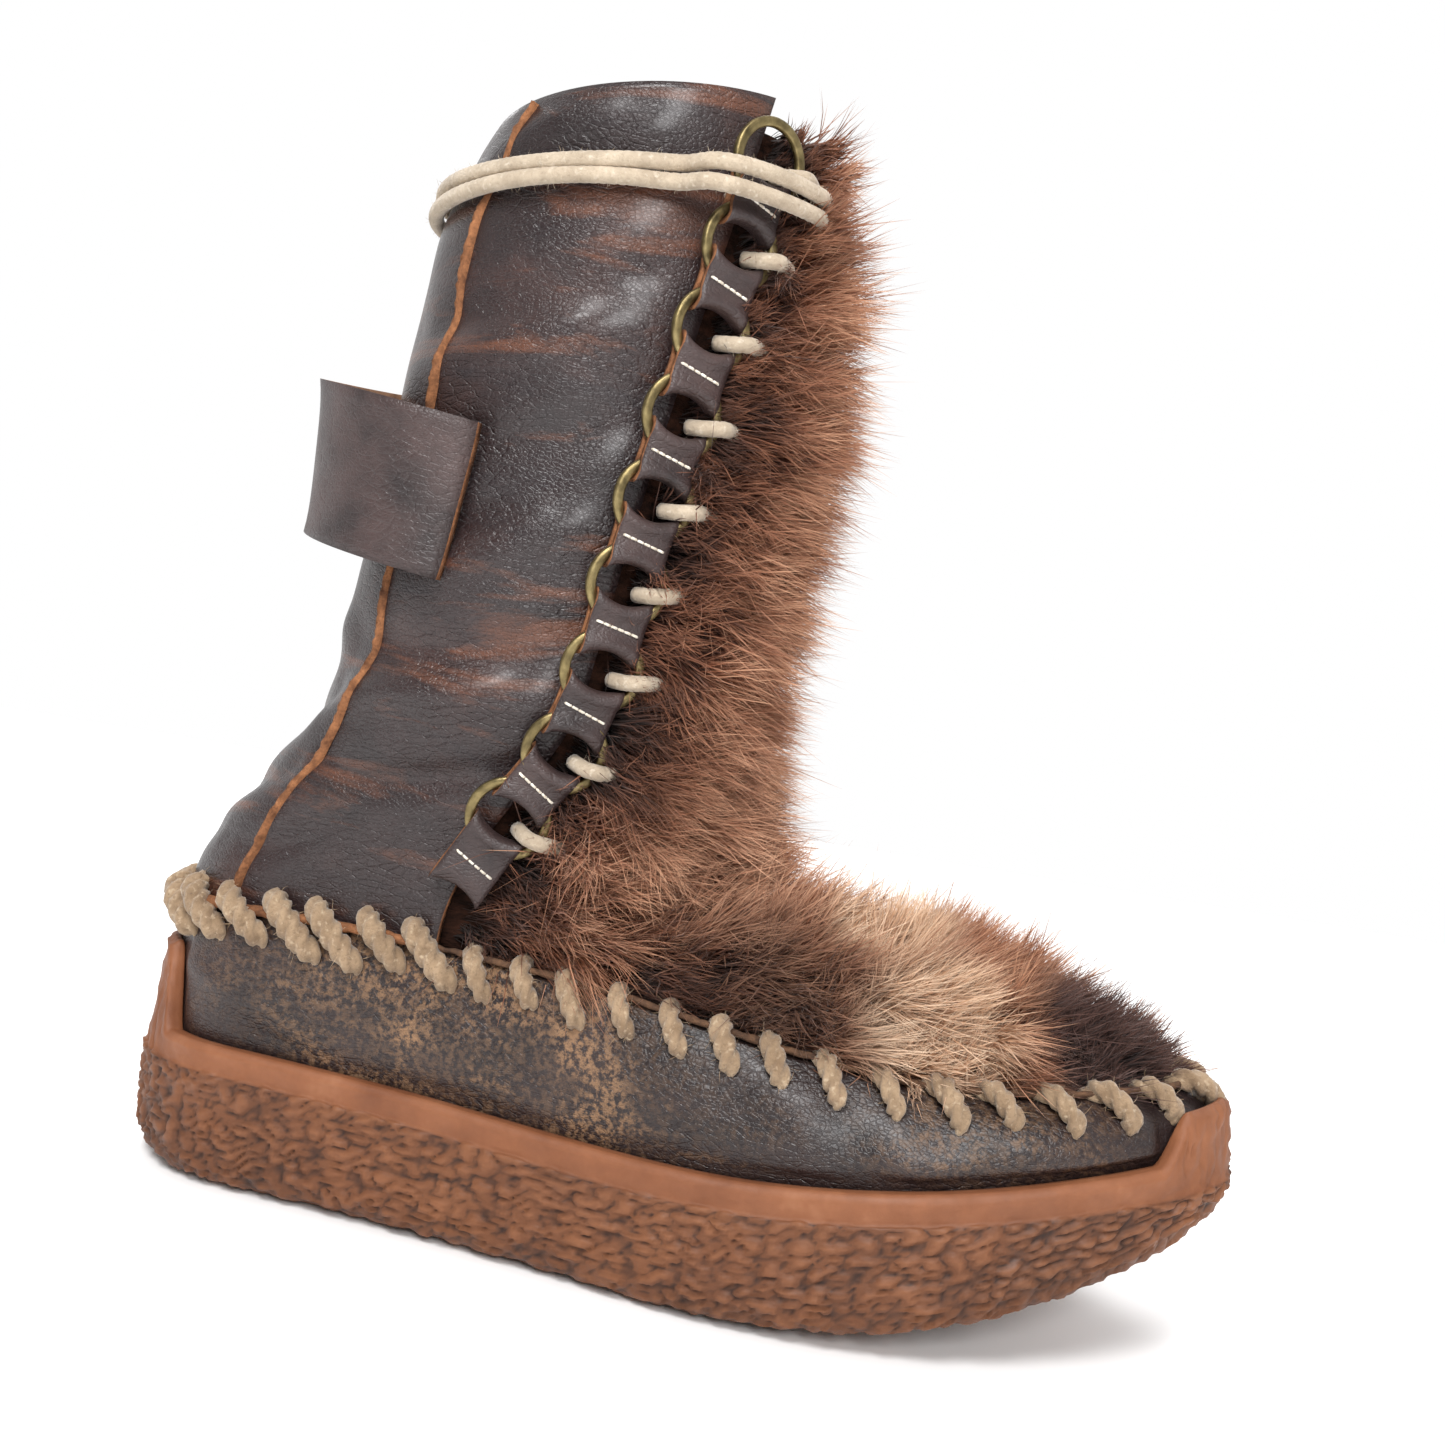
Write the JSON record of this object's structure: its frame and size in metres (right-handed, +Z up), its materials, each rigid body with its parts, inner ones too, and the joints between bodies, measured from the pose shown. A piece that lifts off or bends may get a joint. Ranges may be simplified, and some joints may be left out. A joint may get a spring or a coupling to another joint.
{
  "type": "fur front mukluk boot",
  "caption": "Mid-calf moccasin boot for the right foot with a crepe cup sole, whip-stitched leather upper, fur front and a lace through rings beside it",
  "frame": {"origin": "on the floor, on the tread under the heel, below the middle of the ankle", "axes": "+Z up, +X toward the toe, -Y the outer (lateral) side of this right boot, +Y its inner side"},
  "size_m": [0.285, 0.1008, 0.2852],
  "materials": {
    "crepe_rubber": "wrinkled crepe, matte",
    "insole_leather": "unfinished, matte",
    "dark_leather": "waxed pull-up, semi-gloss",
    "fur": "deep pile",
    "antique_brass": "aged, satin",
    "linen_cord": "hairy cord, matte",
    "raw_edge": "raw cut edge, matte"
  },
  "bodies": {
    "root": {"sole": "crepe_rubber", "insole": "insole_leather", "upper": "dark_leather", "fur_front": "fur", "ring_lateral_1": "antique_brass", "link_lateral_1": "dark_leather", "ring_lateral_2": "antique_brass", "link_lateral_2": "dark_leather", "ring_lateral_3": "antique_brass", "link_lateral_3": "dark_leather", "ring_lateral_4": "antique_brass", "link_lateral_4": "dark_leather", "ring_lateral_5": "antique_brass", "link_lateral_5": "dark_leather", "ring_lateral_6": "antique_brass", "link_lateral_6": "dark_leather", "ring_lateral_7": "antique_brass", "link_lateral_7": "dark_leather", "ring_lateral_8": "antique_brass", "link_lateral_8": "dark_leather", "ring_lateral_9": "antique_brass", "link_lateral_9": "dark_leather", "ring_medial_1": "antique_brass", "link_medial_1": "dark_leather", "ring_medial_2": "antique_brass", "link_medial_2": "dark_leather", "ring_medial_3": "antique_brass", "link_medial_3": "dark_leather", "ring_medial_4": "antique_brass", "link_medial_4": "dark_leather", "ring_medial_5": "antique_brass", "link_medial_5": "dark_leather", "ring_medial_6": "antique_brass", "link_medial_6": "dark_leather", "ring_medial_7": "antique_brass", "link_medial_7": "dark_leather", "ring_medial_8": "antique_brass", "link_medial_8": "dark_leather", "ring_medial_9": "antique_brass", "link_medial_9": "dark_leather", "seam_lateral": "raw_edge", "seam_medial": "raw_edge", "whip_stitch": "linen_cord", "back_loop": "dark_leather", "lace_wrap_lower": "linen_cord", "lace_wrap_upper": "linen_cord", "lace_crossings": "linen_cord", "lace_knot": "linen_cord", "lace_end_back": "linen_cord", "lace_end_front": "linen_cord", "lace_tip_back": "antique_brass", "lace_tip_front": "antique_brass"}
  },
  "joints": []
}
